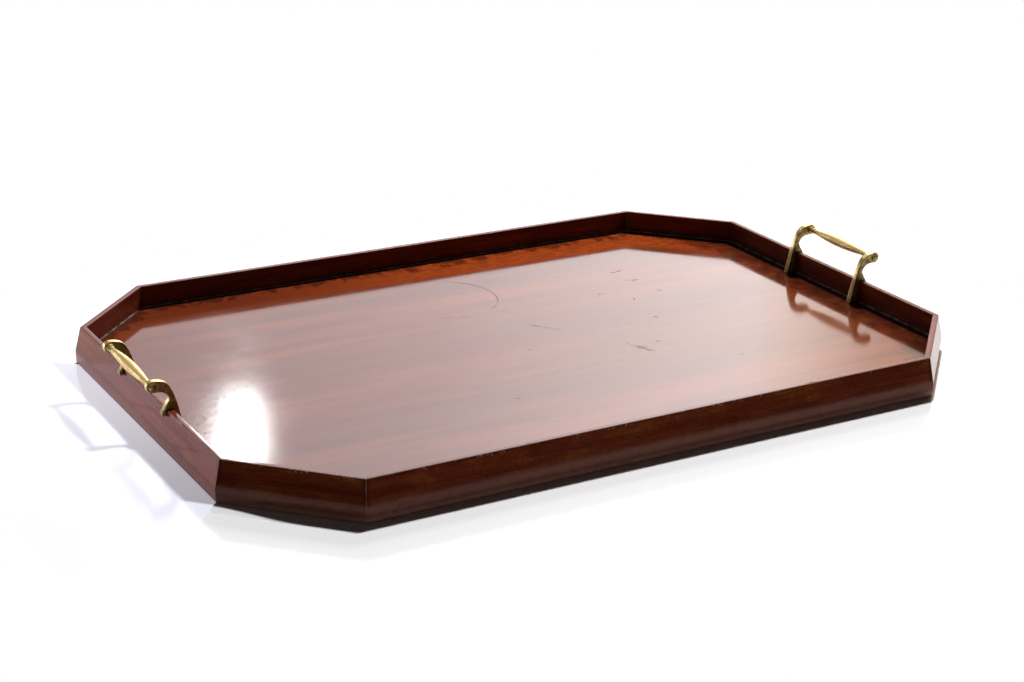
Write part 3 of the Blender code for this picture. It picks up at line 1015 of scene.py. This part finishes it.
def makeCastBrass(look):
    material, shader, place = newMaterial("castBrass")
    x, y, z = split(place)
    fromPlane = absolute(minus(absolute(y), bracket["spacing"] / 2))
    half = bracket["thickness"] / 2
    cloud = noiseAt(place, 200.0, 3.0)
    # the flat sides keep an olive patina, the edges are rubbed bright
    fromEye = lengthOf(join(
        minus(absolute(x), halfLength + bracket["eyeReach"]), 0.0,
        minus(z, gallery["height"] + bracket["eyeRise"]),
    ))
    sides = times(
        remap(fromPlane, half - 0.3 * mm, half - 0.08 * mm), remap(cloud, 0.62, 0.4, 0.55, 1.0),
        remap(remap(fromEye, 7 * mm, 4 * mm), 0.0, 1.0, 1.0, 0.8),
    )
    level = minus(z, gallery["boardTop"])
    edges = remap(fromPlane, half - 0.5 * mm, half - 1.1 * mm)
    legs = times(edges, remap(level, 26 * mm, 16 * mm), 0.85)
    patina = most(sides, legs)
    # the foot darkens where it meets the board and rail: dirt and painted shade
    foot = times(remap(level, 6 * mm, 0.5 * mm), remap(cloud, 0.35, 0.6))
    pits = remap(noiseAt(place, 1400.0, 3.0), 0.55, 0.66)
    dirtAndShade = most(times(foot, 0.85), times(pits, 0.35))
    metal = blend(remap(cloud, 0.3, 0.7), look["dull"], look["bright"])
    colour = painted(metal, look, (patina, "patina"), (dirtAndShade, "dirtAndShade"))
    roughness = plus(look["castRoughness"], times(most(dirtAndShade, patina), 0.2))
    normal = bump(plus(cloud, times(pits, -0.3)), look["castDepth"])
    metallic = minus(1.0, times(patina, 0.6))
    feed(shader, colour=colour, roughness=roughness, metallic=metallic, normal=normal)
    return material


def makeTurnedBrass(look):
    material, shader, place = newMaterial("turnedBrass")
    _, y, z = split(place)
    outward = absolute(y)
    cloud = noiseAt(stretched(place, y=0.5), 120.0, 4.0)
    rings = noiseAt(join(0.0, y, 0.0), 5200.0, 2.0)
    freckles = placed(specks, place, **look["freckles"])["Mask"]
    headFace = (bracket["spacing"] + bracket["thickness"]) / 2
    head = remap(outward, headFace + 0.3 * mm, headFace + 0.7 * mm)
    axis = gallery["height"] + bracket["eyeRise"]
    # painted shade below the grip's axis
    shadeUnder = remap(z, *(axis - drop for drop in look["shadeUnderGrip"]), 0.0, 0.6)
    colour = painted(
        blend(remap(cloud, 0.3, 0.7), look["dull"], look["bright"]), look,
        (0.45, "bright"),
        (times(freckles, 0.35), "patina"),
        (times(remap(outward, *look["groove"]), 0.2), "patina"),
        (times(head, 0.75), "patina"),
        (shadeUnder, "dirtAndShade"),
    )
    roughness = plus(look["turnedRoughness"], remap(cloud, 0.6, 0.35, 0.0, 0.1))
    normal = bump(plus(times(rings, 0.35), cloud), look["turnedDepth"])
    feed(shader, colour=colour, roughness=roughness, metallic=1.0, normal=normal)
    return material


castBrass = makeCastBrass(brassLook)
turnedBrass = makeTurnedBrass(brassLook)
bracketMesh = makeBracketMesh(bracket)
gripMesh = turnedMesh("grip", gripProfile(grip), grip["turnSteps"])


def makeHandle(side, turn):
    railTop = Matrix.Translation((halfLength * cos(turn), 0, gallery["height"]))
    stand = railTop @ Matrix.Rotation(turn, 4, "Z")
    for place, way in {"front": -cos(turn), "back": cos(turn)}.items():
        mesh = bracketMesh.copy()
        mesh.transform(stand @ Matrix.Translation((0, way * bracket["spacing"] / 2, 0)))
        name = f"{side}_{place}_bracket"
        showPiece(name + "_casting", mesh, castBrass, "tray", (name,))
    mesh = gripMesh.copy()
    mesh.transform(stand @ Matrix.Translation((bracket["eyeReach"], 0, bracket["eyeRise"])))
    name = side + "_grip"
    showPiece(name + "_turning", mesh, turnedBrass, name, (name,))


makeHandle("right", 0)
makeHandle("left", pi)
print("handles made")

# Finishes of the solids that show as they are

keyLook = {
    "light": (0.50, 0.34, 0.19, 1),
    "dark": (0.34, 0.21, 0.11, 1),
    "grain": {"Figure Size": 0.004, "Fibre Size": 0.0006, "Stretch": 6.0},
}
screwLook = {"bright": (0.55, 0.40, 0.16, 1), "dull": (0.16, 0.11, 0.05, 1)}


def makeKeyFinish(look):
    material, shader, place = newMaterial("keyWood")
    fibre = placed(woodGrain, place, **look["grain"])["Fibre"]
    colour = blend(fibre, look["dark"], look["light"])
    feed(shader, colour=colour, roughness=0.65, normal=bump(fibre, 0.03 * mm))
    return material


def makeScrewFinish(look):
    material, shader, place = newMaterial("screwBrass")
    cloud = noiseAt(place, 700.0, 3.0)
    colour = blend(remap(cloud, 0.35, 0.65), look["dull"], look["bright"])
    roughness = remap(cloud, 0.3, 0.7, 0.5, 0.3)
    feed(shader, colour=colour, roughness=roughness, metallic=1.0, normal=bump(cloud, 0.04 * mm))
    return material


paint(solids["tray_board"].data, boardFinish)
keyFinish = makeKeyFinish(keyLook)
screwFinish = makeScrewFinish(screwLook)
for name in solids:
    if "tongue" in name:
        paint(solids[name].data, keyFinish)
    if name.endswith("_screw"):
        paint(solids[name].data, screwFinish)
print("solids painted")

# Table, room and lamps

roomLook = {
    "tableColour": (0.93, 0.93, 0.94, 1),
    "leftColour": (0.88, 0.895, 1.0, 1),
    "tableRoughness": 0.12,
    "tableDrop": 0.0002,            # below the tray's feet
    "tableMargin": 0.22,            # round the tray; from there the white room goes on
    "whitening": (0.055, 0.14),     # outside the rails, where it begins to whiten and is white
    "leftStart": 0.004,             # of the table's left part, short of the rail's corners
    "leftEdges": ((-0.643, -0.766), (-0.8, 0.6)),   # which way its borders run from there
    # how it glows, from its front to its back
    "leftAlong": (-0.17, 0.14),
    "leftGlow": (0.38, 0.72),
    # the dark strip under the front left cant is lightened outside a line: the line's distance from
    # the middle at two places along the cant, the places between which it ends, and its outer limit
    "stripAlong": (-0.13, -0.06),
    "stripLine": (0.334, 0.343),
    "stripEnd": (-0.05, -0.09),
    "stripOuter": (0.346, 0.342),
    "stripGlow": 0.7,
    "brightest": 3.65,
    # share of the brightest round the room, by azimuth from +Y towards +X, and any tint
    "panel": (
        (-180, 0.004),
        (-100, 0.006),
        (-40, 0.03, (0.95, 0.97, 1)),
        (12, 0.05, (0.93, 0.95, 1)),
        (18, 0.35, (0.93, 0.95, 1)),
        (28, 0.57, (0.98, 0.98, 1)),
        (37.9, 1.0),
        (39.8, 0.87, (1, 0.89, 0.80)),
        (42, 0.46, (1, 0.80, 0.67)),
        (50, 0.35, (1, 0.79, 0.66)),
        (65, 0.30, (1, 0.9, 0.85)),
        (72, 0.03),
        (90, 0.006),
        (180, 0.004),
    ),
    "lowBand": (
        (-180, 0.0),
        (-56, 0.0, (1, 0.95, 0.97)),
        (-44, 0.9, (1, 0.95, 0.97)),
        (-10, 0.9, (1, 0.95, 0.97)),
        (0, 0.3),
        (48, 0.3),
        (54, 1.4, (1, 0.96, 0.95)),
        (63, 1.4, (1, 0.96, 0.95)),
        (72, 0.0),
        (180, 0.0),
    ),
    # and by height, as the sine of the elevation
    "panelHeights": (
        (0, 0.9), (0.34, 0.95), (0.37, 1.0), (0.40, 1.12),
        (0.43, 1.22), (0.50, 1.2), (0.68, 0.04), (1, 0.04),
    ),
    "bandHeights": ((0, 1.0), (0.10, 1.0), (0.2, 0.0), (1, 0.0)),
    "overheadHeights": (0.45, 0.8),
    "overheadGloss": 0.55,          # what only mirrors see overhead
    # where each lamp stands: azimuth, elevation, distance; then its size and its power
    "tableLamp": (40, 64, 3.0, (0.2, 0.2), 104),
    "tableFill": (40, 42, 3.0, (0.45, 0.45), 20),
    "trayLamp": (55.5, 56, 3.0, (0.22, 0.22), 79),
    "leftLamp": (127.5, 53, 3.0, (0.25, 0.25), 70),
    "sideLamp": (-60, 6, 1.2, (0.5, 0.5), 7.6),
    "brassLamp": (-25, 62, 3.0, (1.8, 1.8), 9),
    # the same for what glares on the board, seen from a spot on it
    "window": (22.2, 24.0, 2.5, (0.072, 0.155), 0.85),
    "windowSpot": (-0.262, -0.062, 0.0118),
    "flare": (21.3, 23.4, 2.5, (0.03, 0.05), 0.09),
    "flareSpot": (-0.286, -0.088, 0.0118),
}


def leftGlow(place, look):
    return remap(split(place)[1], *look["leftAlong"], *look["leftGlow"])


def stripGlow(place, look):
    x, y, _ = split(place)
    off = times(plus(x, y), -sqrt(0.5))
    along = times(minus(x, y), sqrt(0.5))
    past = minus(off, remap(along, *look["stripAlong"], *look["stripLine"]))
    return times(
        remap(past, -1.5 * mm, 2 * mm, 0.0, look["stripGlow"]), remap(along, *look["stripEnd"]),
        remap(off, *look["stripOuter"]),
    )


def makeTableFinish(name, colour, glowAt, look):
    material, shader, place = newMaterial(name)
    tree = material.node_tree
    shader.inputs["Emission Color"].default_value = colour
    shade = blend(remap(noiseAt(place, 3.0), 0.2, 0.8), colour, (1, 1, 1, 1), "MULTIPLY")
    path = put(tree, "LightPath").outputs
    seen = most(path["Is Camera Ray"], path["Is Glossy Ray"], path["Is Transmission Ray"])
    glow = times(seen, glowAt(place, look))
    feed(shader, colour=shade, roughness=look["tableRoughness"], glow=glow)
    far = remap(insetAt(place), *(-reach for reach in look["whitening"]))
    white = put(tree, "Emission", {"Color": (1, 1, 1, 1), "Strength": 1.0})
    both = put(tree, "MixShader", {0: times(far, seen), 1: shader.outputs[0], 2: white.outputs[0]})
    setSockets(tree.nodes["Material Output"], {"Surface": both.outputs[0]})
    return material


def addTable(name, corners, colour, glowAt, look):
    mesh = bpy.data.meshes.new(name)
    points = [(x, y, -look["tableDrop"]) for x, y in corners]
    mesh.from_pydata(points, [], [tuple(range(len(points)))])
    paint(mesh, makeTableFinish(name + "Finish", colour, glowAt, look))
    table = addObject(name, mesh)
    return table


def makeTable(look):
    # in two parts along the left rail, as the lamps reach them differently
    railX, railY = halfLength, endLength / 2 - look["leftStart"]
    farX, farY = halfLength + look["tableMargin"], halfWidth + look["tableMargin"]
    (frontX, frontY), (backX, backY) = look["leftEdges"]
    front = (-farX, -railY + (farX - railX) * frontY / -frontX)
    back = (-farX, railY + (farX - railX) * backY / -backX)
    left = [(-railX, -railY), (-railX, railY), back, front]
    rest = [left[0], front, (-farX, -farY), (farX, -farY), (farX, farY), (-farX, farY), back, left[1]]
    table = addTable("table", rest, look["tableColour"], stripGlow, look)
    return table, addTable("tableLeft", left, look["leftColour"], leftGlow, look)


def ramp(value, stops):
    node = putBeside("ValToRGB", {"Fac": value})
    elements = node.color_ramp.elements
    while len(elements) < len(stops):
        elements.new(0.5)
    for element, (position, colour) in zip(elements, stops):
        element.position = position
        element.color = (*colour, 1)
    return node.outputs["Color"]


def roomPart(turn, z, around, heights):
    # light round the room, scaled by its share at each height
    stops = [
        (degrees / 360 + 0.5, [level * part for part in (tint[0] if tint else (1, 1, 1))])
        for degrees, level, *tint in around
    ]
    colours = ramp(turn, stops)
    share = split(ramp(z, [(position, [level] * 3) for position, level in heights]))[0]
    return putBeside("VectorMath", {0: colours, "Scale": share}, operation="SCALE").outputs[0]


def makeRoom(look):
    world = bpy.data.worlds.new("room")
    scene.world = world
    world.use_nodes = True
    tree = world.node_tree
    x, y, z = split(put(tree, "TexCoord").outputs["Generated"])
    turn = plus(over(calc("ARCTAN2", x, y), 2 * pi), 0.5)
    panel = roomPart(turn, z, look["panel"], look["panelHeights"])
    band = roomPart(turn, z, look["lowBand"], look["bandHeights"])
    path = put(tree, "LightPath").outputs
    overhead = times(
        remap(z, *look["overheadHeights"]), look["overheadGloss"] / look["brightest"],
        most(path["Is Glossy Ray"], path["Is Transmission Ray"]),
    )
    around = vectorCalc("ADD", vectorCalc("ADD", panel, band), join(overhead, overhead, overhead))
    seen = path["Is Camera Ray"]
    level = put(tree, "Mix", {0: seen, 2: look["brightest"], 3: 1.0}, data_type="FLOAT").outputs[0]
    colour = blend(seen, around, (1, 1, 1, 1))
    setSockets(tree.nodes["Background"], {"Strength": level, "Color": colour})


def toward(azimuth, elevation):
    a, e = radians(azimuth), radians(elevation)
    return Vector((sin(a) * cos(e), cos(a) * cos(e), sin(e)))


def listed(name, state, surfaces):
    group = bpy.data.collections.new(name)
    for surface in surfaces:
        group.objects.link(surface)
    for entry in group.collection_objects:
        entry.light_linking.link_state = state
    return group


def addLamp(name, look, state, *surfaces, target=(0, 0, 0)):
    # lights only the surfaces, or all but them
    azimuth, elevation, distance, size, power = look[name]
    target = Vector(target)
    place = target + toward(azimuth, elevation) * distance
    data = bpy.data.lights.new(name, "AREA")
    data.shape = "RECTANGLE"
    data.size, data.size_y = size
    data.energy = power
    lamp = addObject(name, data)
    lamp.location = place
    lamp.rotation_euler = (place - target).to_track_quat("Z", "Y").to_euler()
    lamp.visible_camera = False
    lamp.light_linking.receiver_collection = listed(name + "Receivers", state, surfaces)
    return lamp


def makeLamps(look, table, tableLeft):
    brass = [piece for piece in scene.objects if piece.name.endswith(("_casting", "_turning"))]
    leftBrass = [piece for piece in brass if piece.name.startswith("left")]
    for name in ("tableLamp", "tableFill"):
        lamp = addLamp(name, look, "INCLUDE", table)
        lamp.light_linking.blocker_collection = listed(name + "Passed", "EXCLUDE", leftBrass)
    addLamp("trayLamp", look, "EXCLUDE", table, tableLeft)
    addLamp("leftLamp", look, "INCLUDE", tableLeft)
    addLamp("sideLamp", look, "INCLUDE", scene.objects["left_rail_moulding"])
    addLamp("brassLamp", look, "INCLUDE", *brass)
    addLamp("window", look, "EXCLUDE", tableLeft, target=look["windowSpot"])
    addLamp("flare", look, "EXCLUDE", tableLeft, target=look["flareSpot"])


table, tableLeft = makeTable(roomLook)
makeRoom(roomLook)
makeLamps(roomLook, table, tableLeft)
scene.view_settings.view_transform = "Standard"
print("room and lamps made")
